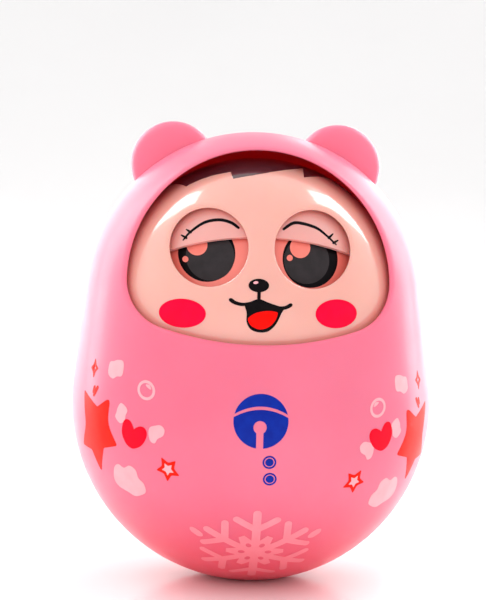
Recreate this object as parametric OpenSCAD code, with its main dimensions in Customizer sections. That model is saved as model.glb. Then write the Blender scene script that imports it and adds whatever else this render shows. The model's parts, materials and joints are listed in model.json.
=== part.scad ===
// Roly poly toy: a weighted egg-shaped body with a hood, a face that nods and eyelids that blink.
// Millimetres. The origin is the middle of the foot, +Z is up and the face looks along -Y.
// Left and right are as seen by someone who faces the toy, so left is -X.

/* [Body] */
// Radius of the round belly
belly_r = 70; // [66:0.5:76]
// Radius of the round crown
crown_r = 65.5; // [62:0.5:68]
// Height of the crown's centre above the belly's centre
crown_rise = 39.5; // [36:0.5:44]
// Radius of the flat that the toy stands on
foot_r = 12; // [9:0.5:15]
// Thickness of the body's wall
shell_wall = 2.5; // [2:0.1:3]

/* [Hood] */
// Radius of the hood's arch over the face
arch_r = 48.8; // [45:0.2:50]
// Height of the arch's centre above the nod axle
arch_rise = 8.8; // [7:0.1:11]
// Radius of the opening's lower corners
corner_r = 17.7; // [15:0.1:19]
// Depth of the opening below the arch's centre
opening_drop = 22.1; // [20.5:0.1:25]

/* [Ears] */
// Radius of an ear's round outline
ear_r = 16.6; // [14:0.2:19]
// Thickness of an ear at its middle
ear_thick = 17; // [14:0.5:20]
// Radius of an ear's rounded rim
ear_rim_r = 6; // [4:0.2:6.6]
// Angle of the ears from the vertical
ear_angle = 31.6; // [28:0.2:36]
// Depth of an ear's centre below the crown's surface
ear_sink = 3.7; // [2:0.1:6]
// Distance of the ears behind the seam
ear_back = 5.2; // [4.5:0.1:8]
// Radius of the peg that holds an ear
ear_peg_r = 3; // [2:0.1:4]

/* [Face] */
// Distance of the nod axle in front of the seam
head_forward = 10; // [8.5:0.1:11.5]
// Gap between the face and the inside of the hood
face_gap = 1.2; // [1:0.1:2]
// How far the face's curve from side to side is centred behind the nod axle, so that it fills the hood
cheek_fill = 2.7; // [2.2:0.1:3]
// Thickness of the face's wall
mask_wall = 2; // [1.6:0.1:2.2]
// Angle of each eye's centre to the side, as seen from the nod axle
eye_side_angle = 20.1; // [19:0.1:21]
// Angle of the eyes above the nod axle
eye_rise_angle = 22.8; // [21:0.1:24.5]
// Angle that an eye hole spreads from its centre
eye_hole_angle = 14.9; // [13.5:0.1:15.7]

/* [Eyes] */
// Gap between one moving layer of the face and the next
layer_gap = 0.8; // [0.5:0.1:1]
// Thickness of an eyelid
lid_wall = 1.2; // [1:0.1:1.5]
// Angle of an eyelid's lower edge above the axle's height
lid_edge_angle = 29; // [26:0.1:31]
// Angle of an eyelid's upper edge above the axle's height
lid_top_angle = 75; // [72:0.5:78]
// Thickness of an eye
eye_wall = 1.2; // [1:0.1:1.5]
// Radius of the rod that weighs the eyelids
lid_rod_r = 2.6; // [2:0.1:3]
// Distance of that rod from the axle
lid_rod_reach = 23; // [20:0.5:25]
// Angle of that rod behind the vertical
lid_rod_angle = 21.8; // [18:0.1:25]

/* [Nod] */
// Radius of the nod pins
pin_r = 2; // [1.5:0.1:2.5]
// Thickness of the side arms of the head frame
lug_t = 6; // [5:0.1:7]
// Distance of the frame's crossbar behind the axle
bar_back = 19; // [18:0.5:22]
// Thickness of the crossbar
bar_t = 5; // [4:0.1:6]
// Height of the crossbar
bar_h = 12; // [10:0.5:14]
// Radius of the nodding weight
nod_weight_r = 10; // [8:0.1:11]
// Length of the nodding weight
nod_weight_h = 25; // [20:0.5:27]
// Depth of the nodding weight's top below the axle
nod_weight_drop = 33; // [32:0.5:36]
// Distance of the nodding weight behind the axle
nod_weight_back = 15.1; // [13:0.1:17]

/* [Base] */
// Height of the base weight's flat top above the floor
base_weight_top = 16.5; // [14:0.5:19]
// Radius of the posts that the base weight sits on
post_r = 4; // [3.5:0.1:5]
// Distance of the posts to the left and right of the middle
post_x = 18; // [16:0.5:21]
// Distance of the posts in front of and behind the seam
post_y = 14; // [12:0.5:17]
// Width of the chime's base outside its screws
chime_edge = 1.4; // [1:0.1:4]
// Thickness of the chime's base
chime_base_t = 3; // [2:0.1:4]
// Radius of the chime rods
chime_rod_r = 1.5; // [1.2:0.1:1.8]
// Length of the shortest chime rod
chime_rod_h = 11; // [9:0.5:12]
// Step from one chime rod's length to the next
chime_rod_step = 1; // [0.5:0.1:1.5]
// Distance between neighbouring chime rods
chime_rod_pitch = 7.5; // [6:0.1:8]
// Height of the hammer's pin above the chime's base
hammer_pin_rise = 16.5; // [16:0.1:18]
// Distance from the hammer's pin to its striker
hammer_reach = 11; // [10:0.1:11.5]
// Radius of the hammer's striker
striker_r = 2.5; // [2:0.1:3]
// Swing of the hammer each way
hammer_swing = 30; // [25:1:32]

/* [Screws] */
// Radius of a screw's thread
screw_r = 1.5; // [1.2:0.1:1.8]
// Radius of a screw's head
screw_head_r = 2.8; // [2.4:0.1:3.2]
// Height of a screw's head
screw_head_h = 2; // [1.6:0.1:2.4]
// Radius of the screw bosses inside the body
boss_r = 4; // [3.6:0.1:4.5]

/* [Hidden] */
$fn = 96;

LEFT = -1;
RIGHT = 1;
FRONT = -1;
REAR = 1;

// Clearances
run_fit = 0.06;
seat_fit = 0.04;
head_fit = 0.4;
overrun = 1;
// How far one arc stands past the next where two of them meet
blend = 0.15;

// The egg: two balls joined by the cone that touches both
belly_z = sqrt(belly_r * belly_r - foot_r * foot_r);
crown_z = belly_z + crown_rise;
body_top = crown_z + crown_r;
cone_angle = asin((belly_r - crown_r) / crown_rise);
reach = 2 * body_top;

// The opening in the hood: the arc along its lower edge
opening_r = (pow(arch_r - corner_r, 2) + opening_drop * opening_drop - corner_r * corner_r)
            / (2 * (opening_drop - corner_r));

// The ears: the arc across each domed face, and the peg that holds it
ear_half = ear_thick / 2;
ear_dome_r = (pow(ear_r - ear_rim_r, 2) + ear_half * ear_half - ear_rim_r * ear_rim_r)
             / (2 * (ear_half - ear_rim_r));
ear_orbit = crown_r - ear_sink;
ear_peg_out = 5;
ear_peg_in = 2;

// The nod axle at the crown's centre, and the layers of the head around it
head_z = crown_z;
arch_z = head_z + arch_rise;
rim_side = [arch_r, sqrt(pow(egg_r(arch_z), 2) - arch_r * arch_r) - head_forward, arch_rise];
rim_bottom = [0, egg_r(arch_z - opening_drop) - head_forward, arch_rise - opening_drop];
face_r = min(norm(rim_side), norm(rim_bottom)) - shell_wall - face_gap;
cheek_r = face_r + cheek_fill;
mask_in_r = face_r - mask_wall;
lid_r = mask_in_r - layer_gap;
lid_in_r = lid_r - lid_wall;
eye_r = lid_in_r - layer_gap;
eye_in_r = eye_r - eye_wall;

// The eyes: a dish behind each hole, with a foot screwed to the face below the hole
eye_x = face_r * sin(eye_side_angle);
eye_rise = face_r * sin(eye_rise_angle);
eye_hole_r = face_r * sin(eye_hole_angle);
eye_margin = 3.3;
eye_dish_r = eye_hole_r + eye_margin;
eye_foot_w = 9;
eye_foot_drop = 7;
eye_boss_drop = 2.5;
eye_boss_r = 3.4;
eye_boss_angle = asin(eye_x / eye_r);
eye_screw_bite_share = 0.35;
eye_screw_tip = mask_in_r + mask_wall * eye_screw_bite_share;

// The head frame's side arms, just inside the face
lug_gap = 2.1;
lug_flange_h = 28;
lug_flange_t = 4;
lug_front = 6;
lug_screw_z = 10;
lug_boss_r = 3;
lug_out_x = sqrt(mask_in_r * mask_in_r - pow(lug_flange_h / 2, 2)) - lug_gap;
lug_in_x = lug_out_x - lug_t;

// The eyelids' side arms, midway between the eyes and the head frame
lid_inner_x = 3;
lid_arm_t = 2;
lid_arm_w = 8;
lid_hub_r = 5;
lid_hub_t = 3;
lid_arm_x = (eye_x + eye_dish_r + lug_in_x - lid_hub_t) / 2;
lid_arm_out_x = lid_arm_x + lid_arm_t;
lid_arm_angle = (lid_edge_angle + lid_top_angle) / 2;
lid_rod_end = lid_rod_reach + lid_arm_w / 2;
lid_lip = 0.5;

// The pins that the head nods on
pin_gap = 1.5;
pin_boss_r = 5;
pin_seat = 4.5;
pin_notch = 1.2;
pin_in_x = lid_arm_x - pin_gap;
pin_boss_x = face_r + pin_gap;
pin_out_x = pin_boss_x + pin_seat;

// The arm below the frame, and the foot that carries the nodding weight
arm_t = 3;
arm_w = 12;
arm_foot_margin = 2;
arm_foot_back = nod_weight_back - screw_head_r - arm_foot_margin;
arm_screw_z = 3;

// The chime on top of the base weight
chime_base_r = norm([post_x, post_y]) + screw_head_r + chime_edge;
chime_z = base_weight_top + chime_base_t;
hammer_z = chime_z + hammer_pin_rise;
hammer_pin_r = 1;
hammer_pin_end = 0.5;
hammer_hub_r = 2.4;
hammer_hub_w = 8;
hammer_stem_r = 1.2;
striker_w = 20;
striker_gap = 0.4;
chime_rod_y = hammer_reach * sin(hammer_swing) + striker_r + striker_gap + chime_rod_r;
bracket_in_x = 13;
bracket_t = 2;
bracket_w = 7;
bracket_top = 3.5;

// Screws, and the posts and bosses that take them
thread_len = 7;
post_recess = 1.5;
post_top = base_weight_top - post_recess;
boss_seat = 6;
boss_gap = 1.5;
boss_dip = 20;
boss_orbit = cheek_r + boss_r + boss_gap;
low_boss_shares = [0.6, 0.55];
boss_places = [[belly_r * low_boss_shares.x, belly_z * low_boss_shares.y],
               [boss_orbit * cos(boss_dip), head_z - boss_orbit * sin(boss_dip)]];

// Radius of the egg at a height
function egg_r(z) =
    z < belly_z + belly_r * sin(cone_angle) ? sqrt(belly_r * belly_r - pow(z - belly_z, 2)) :
    z < crown_z + crown_r * sin(cone_angle) ? belly_r / cos(cone_angle) - (z - belly_z) * tan(cone_angle) :
    sqrt(crown_r * crown_r - pow(z - crown_z, 2));

function heading(angle) = [cos(angle), sin(angle)];

// A round bar along X, along Y or along Z, from one place to another
module bar_x(r, from, to) { translate([from, 0, 0]) rotate([0, 90, 0]) cylinder(r = r, h = to - from); }
module bar_y(r, from, to) { translate([0, from, 0]) rotate([-90, 0, 0]) cylinder(r = r, h = to - from); }
module bar_z(r, from, to) { translate([0, 0, from]) cylinder(r = r, h = to - from); }

// A block given by its lowest and highest corners
module block(low, high) { translate(low) cube(high - low); }

// A screw that points along -Z, with the underside of its head at the origin
module screw(len) {
    bar_z(screw_r, -len, 0);
    bar_z(screw_head_r, 0, screw_head_h);
}

// Half of the egg's section, its wall drawn in by an inset
module egg_section(inset) {
    belly = [0, belly_z];
    crown = [0, crown_z];
    slope = heading(cone_angle);
    intersection() {
        translate([0, inset]) square(reach);
        union() {
            translate(belly) circle(belly_r - inset);
            translate(crown) circle(crown_r - inset);
            polygon([belly - [overrun, 0], belly + (belly_r - inset - blend) * slope,
                     crown + (crown_r - inset - blend) * slope, crown - [overrun, 0]]);
        }
    }
}

module egg(inset) { rotate_extrude() egg_section(inset); }

// The front or the rear half of the egg's wall
module half_wall(side) {
    rotate([0, 0, side == FRONT ? 180 : 0])
        rotate_extrude(angle = 180)
            difference() {
                egg_section(0);
                egg_section(shell_wall);
            }
}

// The opening's outline, about the arch's centre
module opening_outline() {
    corner_x = arch_r - corner_r;
    bottom_y = opening_r - opening_drop;
    bottom_x = opening_r * corner_x / (opening_r - corner_r);
    intersection() {
        circle(arch_r);
        translate([-reach, -overrun]) square(2 * reach);
    }
    for (side = [LEFT, RIGHT]) translate([side * (corner_x + blend), -blend]) circle(corner_r);
    intersection() {
        translate([0, bottom_y]) circle(opening_r);
        translate([-bottom_x, -2 * opening_drop]) square(2 * [bottom_x, opening_drop]);
    }
}

// Places on the body
module at_head() { translate([0, -head_forward, head_z]) children(); }
module at_posts(side) { for (x = [LEFT, RIGHT]) translate([x * post_x, side * post_y, 0]) children(); }
module at_bosses() {
    for (x = [LEFT, RIGHT], place = boss_places) translate([x * place.x, 0, place.y]) children();
}
module at_ear(side) {
    translate([side * ear_orbit * sin(ear_angle), ear_back, crown_z + ear_orbit * cos(ear_angle)])
        children();
}
module ear_peg(side, r) {
    at_ear(side) rotate([0, side * ear_angle, 0])
        bar_z(r, ear_sink - shell_wall - ear_peg_in, ear_sink + ear_peg_out);
}

module front_shell() {
    color("hotpink") difference() {
        union() {
            half_wall(FRONT);
            intersection() {
                egg(shell_wall / 2);
                union() {
                    at_bosses() bar_y(boss_r, -reach, 0);
                    at_posts(FRONT) bar_z(post_r, 0, post_top);
                    at_head() for (side = [LEFT, RIGHT])
                        scale([side, 1, 1]) bar_x(pin_boss_r, pin_boss_x, reach);
                }
            }
        }
        translate([0, -head_forward, arch_z]) rotate([90, 0, 0]) linear_extrude(reach) opening_outline();
        at_bosses() bar_y(screw_r + seat_fit, -thread_len - overrun, overrun);
        at_posts(FRONT) bar_z(screw_r + seat_fit, post_top - thread_len - overrun, post_top + overrun);
        at_head() for (side = [LEFT, RIGHT])
            scale([side, 1, 1]) bar_x(pin_r + seat_fit, pin_boss_x - overrun, pin_out_x + seat_fit);
    }
}

module rear_shell() {
    color("hotpink") difference() {
        union() {
            half_wall(REAR);
            intersection() {
                egg(shell_wall / 2);
                union() {
                    at_bosses() bar_y(boss_r, 0, reach);
                    at_posts(REAR) bar_z(post_r, 0, post_top);
                }
            }
        }
        at_bosses() {
            bar_y(screw_r + run_fit, -overrun, reach);
            bar_y(screw_head_r + head_fit, boss_seat, reach);
        }
        at_posts(REAR) bar_z(screw_r + seat_fit, post_top - thread_len - overrun, post_top + overrun);
        for (side = [LEFT, RIGHT]) ear_peg(side, ear_peg_r + seat_fit);
    }
}

// Half of an ear's section: a round rim and two domed faces
module ear_section() {
    rim_x = ear_r - ear_rim_r;
    rise = atan2(ear_dome_r - ear_half, rim_x);
    rim = [rim_x, 0];
    intersection() {
        translate(rim) circle(ear_rim_r);
        polygon([rim, rim + reach * heading(-rise), [reach, 0], rim + reach * heading(rise)]);
    }
    for (face = [0, 1])
        mirror([0, face]) intersection() {
            translate([0, ear_half - ear_dome_r]) circle(ear_dome_r);
            polygon([[0, 0], rim, rim + reach * heading(rise), [0, reach]]);
        }
}

module ear(side) {
    color("hotpink") {
        difference() {
            at_ear(side) rotate([90, 0, 0]) rotate_extrude() ear_section();
            egg(-seat_fit);
        }
        ear_peg(side, ear_peg_r);
    }
}

module base_weight() {
    color("dimgray") difference() {
        rotate_extrude() intersection() {
            egg_section(shell_wall + seat_fit);
            square([belly_r, base_weight_top]);
        }
        for (side = [FRONT, REAR]) at_posts(side) bar_z(post_r + seat_fit, 0, base_weight_top + overrun);
    }
}

module weight_screws() {
    color("silver") for (side = [FRONT, REAR])
        at_posts(side) translate([0, 0, chime_z]) screw(chime_base_t + post_recess + thread_len);
}

module shell_screws() {
    color("silver") at_bosses()
        translate([0, boss_seat, 0]) rotate([-90, 0, 0]) screw(boss_seat + thread_len);
}

module nod_pin(side) { color("silver") at_head() scale([side, 1, 1]) bar_x(pin_r, pin_in_x, pin_out_x); }

module at_chime_rods() {
    for (side = [FRONT, REAR], i = [-1 : 1])
        translate([i * chime_rod_pitch, side * chime_rod_y, 0]) {
            $rod_len = chime_rod_h + (1 + i * side) * chime_rod_step;
            children();
        }
}

module chime_base() {
    color("ivory") difference() {
        bar_z(chime_base_r, base_weight_top, chime_z);
        for (side = [FRONT, REAR])
            at_posts(side) bar_z(screw_r + run_fit, base_weight_top - overrun, chime_z + overrun);
        at_chime_rods() bar_z(chime_rod_r + seat_fit, base_weight_top - overrun, chime_z + overrun);
    }
}

module chime_rods() {
    color("silver") at_chime_rods() bar_z(chime_rod_r, base_weight_top, chime_z + $rod_len);
}

module hammer_bracket() {
    out_x = bracket_in_x + bracket_t;
    color("ivory") difference() {
        union() {
            block([-out_x, -bracket_w / 2, chime_z], [out_x, bracket_w / 2, chime_z + bracket_t]);
            for (side = [LEFT, RIGHT])
                scale([side, 1, 1]) block([bracket_in_x, -bracket_w / 2, chime_z],
                                          [out_x, bracket_w / 2, hammer_z + bracket_top]);
        }
        translate([0, 0, hammer_z]) bar_x(hammer_pin_r + seat_fit, -out_x - overrun, out_x + overrun);
    }
}

module hammer_pin() {
    end_x = bracket_in_x + bracket_t + hammer_pin_end;
    color("silver") translate([0, 0, hammer_z]) bar_x(hammer_pin_r, -end_x, end_x);
}

module hammer_stem() {
    color("silver") translate([0, 0, hammer_z]) difference() {
        union() {
            bar_x(hammer_hub_r, -hammer_hub_w / 2, hammer_hub_w / 2);
            bar_z(hammer_stem_r, -hammer_reach, 0);
        }
        bar_x(hammer_pin_r + run_fit, -hammer_hub_w, hammer_hub_w);
    }
}

module hammer_striker() {
    color("peru") translate([0, 0, hammer_z - hammer_reach]) difference() {
        bar_x(striker_r, -striker_w / 2, striker_w / 2);
        bar_z(hammer_stem_r + seat_fit, -seat_fit, striker_r + overrun);
    }
}

// The front half of a ball about the nod axle
module half_bowl(out_r, in_r) {
    rotate([0, 0, 180]) rotate_extrude(angle = 180) intersection() {
        difference() {
            circle(out_r);
            circle(in_r);
        }
        translate([0, -out_r]) square([out_r, 2 * out_r]);
    }
}

// Places on the head, about the nod axle
module at_eyes() { for (side = [LEFT, RIGHT]) translate([side * eye_x, 0, eye_rise]) children(); }
module at_eye_screw(side) {
    translate([0, 0, -eye_boss_drop]) rotate([0, 0, side * eye_boss_angle]) children();
}
module at_frame_screws() {
    for (x = [LEFT, RIGHT], z = [-1, 1])
        translate([x * (lug_in_x + lug_t / 2), 0, z * lug_screw_z]) children();
}

// Half of the face's section, its wall drawn in by an inset
module face_section(inset) {
    intersection() {
        translate([-cheek_fill, 0]) circle(cheek_r - inset);
        translate([0, -face_r]) square(2 * face_r);
    }
}

// The front half of a section turned about the nod axle
module half_turn() { rotate([0, 90, 0]) rotate([0, 0, 180]) rotate_extrude(angle = 180) children(); }

module face_mask() {
    color("peachpuff") at_head() difference() {
        union() {
            half_turn() difference() {
                face_section(0);
                face_section(mask_wall);
            }
            intersection() {
                half_turn() face_section(mask_wall / 2);
                union() {
                    at_frame_screws() bar_y(lug_boss_r, -reach, -lug_front);
                    for (side = [LEFT, RIGHT])
                        difference() {
                            at_eye_screw(side) bar_y(eye_boss_r, -reach, -eye_in_r);
                            sphere(eye_r + seat_fit);
                        }
                }
            }
        }
        at_eyes() bar_y(eye_hole_r, -reach, -eye_in_r / 2);
        at_frame_screws() bar_y(screw_r + seat_fit, -lug_front - thread_len, overrun);
        for (side = [LEFT, RIGHT])
            at_eye_screw(side) bar_y(screw_r + seat_fit, -eye_screw_tip - seat_fit, -eye_in_r);
        bar_x(pin_r + pin_notch, -face_r - overrun, face_r + overrun);
    }
}

module eye(side) {
    color("salmon") at_head() difference() {
        intersection() {
            half_bowl(eye_r, eye_in_r);
            union() {
                translate([side * eye_x, 0, eye_rise]) bar_y(eye_dish_r, -reach, -overrun);
                translate([side * eye_x, 0, 0])
                    block([-eye_foot_w / 2, -reach, -eye_foot_drop], [eye_foot_w / 2, -overrun, eye_rise]);
            }
        }
        at_eye_screw(side) bar_y(screw_r + run_fit, -reach, 0);
    }
}

module eye_screws() {
    color("silver") at_head() for (side = [LEFT, RIGHT]) {
        at_eye_screw(side) bar_y(screw_r, -eye_screw_tip, -eye_in_r + screw_head_h);
        intersection() {
            sphere(eye_in_r - seat_fit);
            at_eye_screw(side) bar_y(screw_head_r, -eye_in_r - overrun, -eye_in_r + screw_head_h);
        }
    }
}

module head_frame() {
    color("ivory") at_head() difference() {
        union() {
            block([-lug_out_x, bar_back, -bar_h / 2], [lug_out_x, bar_back + bar_t, bar_h / 2]);
            for (side = [LEFT, RIGHT])
                scale([side, 1, 1]) {
                    block([lug_in_x, -lug_front, -bar_h / 2], [lug_out_x, bar_back + bar_t, bar_h / 2]);
                    block([lug_in_x, -lug_front, -lug_flange_h / 2],
                          [lug_out_x, lug_flange_t - lug_front, lug_flange_h / 2]);
                }
        }
        bar_x(pin_r + run_fit, -lug_out_x - overrun, lug_out_x + overrun);
        at_frame_screws() bar_y(screw_r + run_fit, -lug_front - overrun, lug_flange_t);
        for (z = [-1, 1]) translate([0, 0, z * arm_screw_z]) bar_y(screw_r + seat_fit, 0, reach);
    }
}

module frame_screws() {
    color("silver") at_head() at_frame_screws()
        translate([0, lug_flange_t - lug_front, 0]) rotate([-90, 0, 0]) screw(thread_len);
}

module nod_arm() {
    back = bar_back + bar_t;
    color("ivory") at_head() difference() {
        union() {
            block([-arm_w / 2, back, -nod_weight_drop], [arm_w / 2, back + arm_t, bar_h / 2]);
            block([-arm_w / 2, arm_foot_back, -nod_weight_drop],
                  [arm_w / 2, back + arm_t, arm_t - nod_weight_drop]);
        }
        for (z = [-1, 1]) translate([0, 0, z * arm_screw_z]) bar_y(screw_r + run_fit, 0, reach);
        translate([0, nod_weight_back, 0]) bar_z(screw_r + run_fit, -nod_weight_drop - overrun, -bar_h / 2);
    }
}

module arm_screws() {
    color("silver") at_head() for (z = [-1, 1])
        translate([0, bar_back + bar_t + arm_t, z * arm_screw_z]) rotate([-90, 0, 0]) screw(arm_t + bar_t);
}

module nod_weight() {
    color("dimgray") at_head() translate([0, nod_weight_back, -nod_weight_drop]) difference() {
        bar_z(nod_weight_r, -nod_weight_h, 0);
        bar_z(screw_r + seat_fit, -thread_len - overrun, overrun);
    }
}

module nod_weight_screw() {
    color("silver") at_head()
        translate([0, nod_weight_back, arm_t - nod_weight_drop]) screw(arm_t + thread_len);
}

module at_lid_rod() { rotate([lid_rod_angle, 0, 0]) translate([0, 0, -lid_rod_reach]) children(); }

// An eyelid's side arm, seen from its right: up to the lid, round the pin and down to the rod
module lid_arm_outline() {
    circle(lid_hub_r);
    rotate(-lid_arm_angle) translate([-lid_r, -lid_arm_w / 2]) square([lid_r, lid_arm_w]);
    rotate(lid_rod_angle) translate([-lid_arm_w / 2, -lid_rod_end]) square([lid_arm_w, lid_rod_end]);
}

module eyelid(side) {
    color("mistyrose") at_head() difference() {
        union() {
            intersection() {
                difference() {
                    sphere(lid_r);
                    sphere(lid_in_r);
                }
                scale([side, 1, 1]) block([lid_inner_x, -reach, 0], [lid_arm_out_x + lid_lip, reach, reach]);
                rotate([-lid_edge_angle, 0, 0]) block([-reach, -reach, 0], [reach, reach, reach]);
                rotate([-lid_top_angle, 0, 0]) block([-reach, -reach, -reach], [reach, reach, 0]);
            }
            scale([side, 1, 1]) {
                intersection() {
                    sphere(lid_r - lid_wall / 2);
                    rotate([90, 0, 90]) translate([0, 0, lid_arm_x])
                        linear_extrude(lid_arm_t) lid_arm_outline();
                }
                bar_x(lid_hub_r, lid_arm_x + lid_arm_t / 2, lid_arm_x + lid_hub_t);
            }
        }
        bar_x(pin_r + run_fit, -reach, reach);
        at_lid_rod() bar_x(lid_rod_r + seat_fit, -reach, reach);
    }
}

module lid_rod() { color("silver") at_head() at_lid_rod() bar_x(lid_rod_r, -lid_arm_out_x, lid_arm_out_x); }

front_shell();
rear_shell();
ear(LEFT);  // ear_left
ear(RIGHT);  // ear_right
base_weight();
weight_screws();
shell_screws();
nod_pin(LEFT);  // nod_pin_left
nod_pin(RIGHT);  // nod_pin_right
chime_base();
chime_rods();
hammer_bracket();
hammer_pin();
hammer_stem();
hammer_striker();
face_mask();
eye(LEFT);  // eye_left
eye(RIGHT);  // eye_right
eye_screws();
head_frame();
frame_screws();
nod_arm();
arm_screws();
nod_weight();
nod_weight_screw();
eyelid(LEFT);  // eyelid_left
eyelid(RIGHT);  // eyelid_right
lid_rod();
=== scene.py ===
# %% [markdown]
# # A roly poly toy with a nodding face
# The toy is a weighted egg of glossy pink plastic with a bear-eared hood. A face looks out of the hood, nods
# on two pins and blinks. The solids come from CAD; here they get their moulded skins, prints and finishes.

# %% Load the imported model
import json
import math
import bpy
from mathutils import Matrix, Vector


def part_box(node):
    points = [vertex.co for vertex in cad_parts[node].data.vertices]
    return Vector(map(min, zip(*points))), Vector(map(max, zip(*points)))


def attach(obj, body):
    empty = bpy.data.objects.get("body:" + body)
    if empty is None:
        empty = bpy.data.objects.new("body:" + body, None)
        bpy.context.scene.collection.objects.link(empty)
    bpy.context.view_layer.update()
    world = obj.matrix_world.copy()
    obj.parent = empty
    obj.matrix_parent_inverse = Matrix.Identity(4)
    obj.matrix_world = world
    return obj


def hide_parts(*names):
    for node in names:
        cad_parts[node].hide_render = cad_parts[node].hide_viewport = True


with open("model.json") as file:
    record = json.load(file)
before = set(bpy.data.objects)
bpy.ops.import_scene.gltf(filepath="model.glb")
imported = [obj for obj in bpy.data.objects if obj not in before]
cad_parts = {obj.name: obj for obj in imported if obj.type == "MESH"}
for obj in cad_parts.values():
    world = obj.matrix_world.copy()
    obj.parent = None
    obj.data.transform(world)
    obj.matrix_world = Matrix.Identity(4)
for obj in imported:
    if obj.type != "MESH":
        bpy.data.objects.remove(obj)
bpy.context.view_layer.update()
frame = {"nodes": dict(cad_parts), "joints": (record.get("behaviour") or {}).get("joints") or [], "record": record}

# %% [markdown]
# ## Camera
# The picture is taken from 0.8 m away, a little above the face and a touch to the left, with a long lens.
# Aiming the camera at the middle of the picture keeps the lens shift at zero. The toy leans slightly to the
# right in the picture, so the camera is rolled by the same angle.

# %% Camera
CAMERA_AT = Vector((-0.0349, -0.7992, 0.145))
CAMERA_AIM = Vector((-0.004, 0, 0.1083))
CAMERA_ROLL = math.radians(1.25)
LENS, SENSOR = 151.4, 36

bpy.ops.object.select_all(action="DESELECT")
bpy.ops.object.camera_add(location=CAMERA_AT)
camera = bpy.context.object
camera.data.sensor_fit, camera.data.sensor_width, camera.data.lens = "HORIZONTAL", SENSOR, LENS
turn = (CAMERA_AIM - CAMERA_AT).to_track_quat("-Z", "Y").to_matrix().to_4x4()
camera.matrix_world = Matrix.Translation(CAMERA_AT) @ turn @ Matrix.Rotation(CAMERA_ROLL, 4, "Z")
bpy.context.scene.camera = camera
print("camera", round((CAMERA_AIM - CAMERA_AT).length, 3), "m from its aim")

# %% [markdown]
# ## Sizes and the egg's curve
# All lengths are in metres. The egg is a belly ball and a smaller crown ball, joined by the cone that touches
# both, with a small flat foot. One function gives the egg's radius at any height, so every piece that lies on
# it uses the same curve. The head turns on the nod pins, and the face is a barrel about that axle.

# %% Sizes of the egg and of the face
BELLY_R, CROWN_R = 0.070, 0.0655
FOOT_R = 0.012
WALL = 0.0025
AXLE = Vector(next(joint["pos_m"] for joint in frame["joints"] if joint["name"] == "nod"))
FACE_R = AXLE.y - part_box("face_mask")[0].y
BELLY_Z, CROWN_Z = math.sqrt(BELLY_R ** 2 - FOOT_R ** 2), AXLE.z
CONE = math.asin((BELLY_R - CROWN_R) / (CROWN_Z - BELLY_Z))


def egg_radius(z, depth=0):
    """The egg's radius at height z, on a skin that lies depth inside the outer one."""
    belly, crown = BELLY_R - depth, CROWN_R - depth
    if z < depth or z > CROWN_Z + crown:
        return 0
    if z < BELLY_Z + belly * math.sin(CONE):
        return math.sqrt(max(belly ** 2 - (z - BELLY_Z) ** 2, 0))
    if z > CROWN_Z + crown * math.sin(CONE):
        return math.sqrt(max(crown ** 2 - (z - CROWN_Z) ** 2, 0))
    return (belly - (z - BELLY_Z) * math.sin(CONE)) / math.cos(CONE)


def on_egg(x, z, depth=0):
    """The point of the egg's front at x and z."""
    return Vector((x, -math.sqrt(max(egg_radius(z, depth) ** 2 - x ** 2, 0)), z))


print("face radius", round(FACE_R, 5), "egg top", round(CROWN_Z + CROWN_R, 5))

# %% [markdown]
# ## A tube, laid in place
# The front shell and the face are thin curved walls with a round edge. A wall like that is a tube in
# disguise: a circle is extruded ring by ring, and each ring is then laid where it belongs, first over the
# outside, then round the edge and back along the inside. The quads follow the edge, so its shine stays clean.
# The ears, and the forms that pieces are cut or wrapped with, are tubes that close at both ends.

# %% Helpers for tubes
MERGE = 0.000002


def select_only(piece):
    bpy.ops.object.select_all(action="DESELECT")
    piece.select_set(True)
    bpy.context.view_layer.objects.active = piece


def tidy_mesh(piece, sharp=40):
    """Merges doubles, turns the faces outwards and shades the piece smooth but for its sharp edges."""
    select_only(piece)
    bpy.ops.object.mode_set(mode="EDIT")
    bpy.ops.mesh.select_all(action="SELECT")
    bpy.ops.mesh.remove_doubles(threshold=MERGE)
    bpy.ops.mesh.normals_make_consistent(inside=False)
    bpy.ops.object.mode_set(mode="OBJECT")
    if sum(side.center.dot(side.normal) * side.area for side in piece.data.polygons) < 0:
        # A thin bowl can come out of that inside out, which its volume tells.
        bpy.ops.object.mode_set(mode="EDIT")
        bpy.ops.mesh.flip_normals()
        bpy.ops.object.mode_set(mode="OBJECT")
    bpy.ops.object.shade_smooth_by_angle(angle=math.radians(sharp))
    return piece


def pick(piece, test):
    """Selects the corners whose place passes a test, and leaves the piece in edit mode."""
    bpy.ops.object.mode_set(mode="EDIT")
    bpy.ops.mesh.select_all(action="DESELECT")
    bpy.ops.object.mode_set(mode="OBJECT")
    for corner in piece.data.vertices:
        corner.select = test(corner.co)
    bpy.ops.object.mode_set(mode="EDIT")


def modify(piece, kind, **settings):
    """Adds a modifier to a piece, sets it and applies it."""
    select_only(piece)
    bpy.ops.object.modifier_add(type=kind)
    modifier = piece.modifiers[-1]
    for setting, value in settings.items():
        setattr(modifier, setting, value)
    bpy.ops.object.modifier_apply(modifier=modifier.name)


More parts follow.
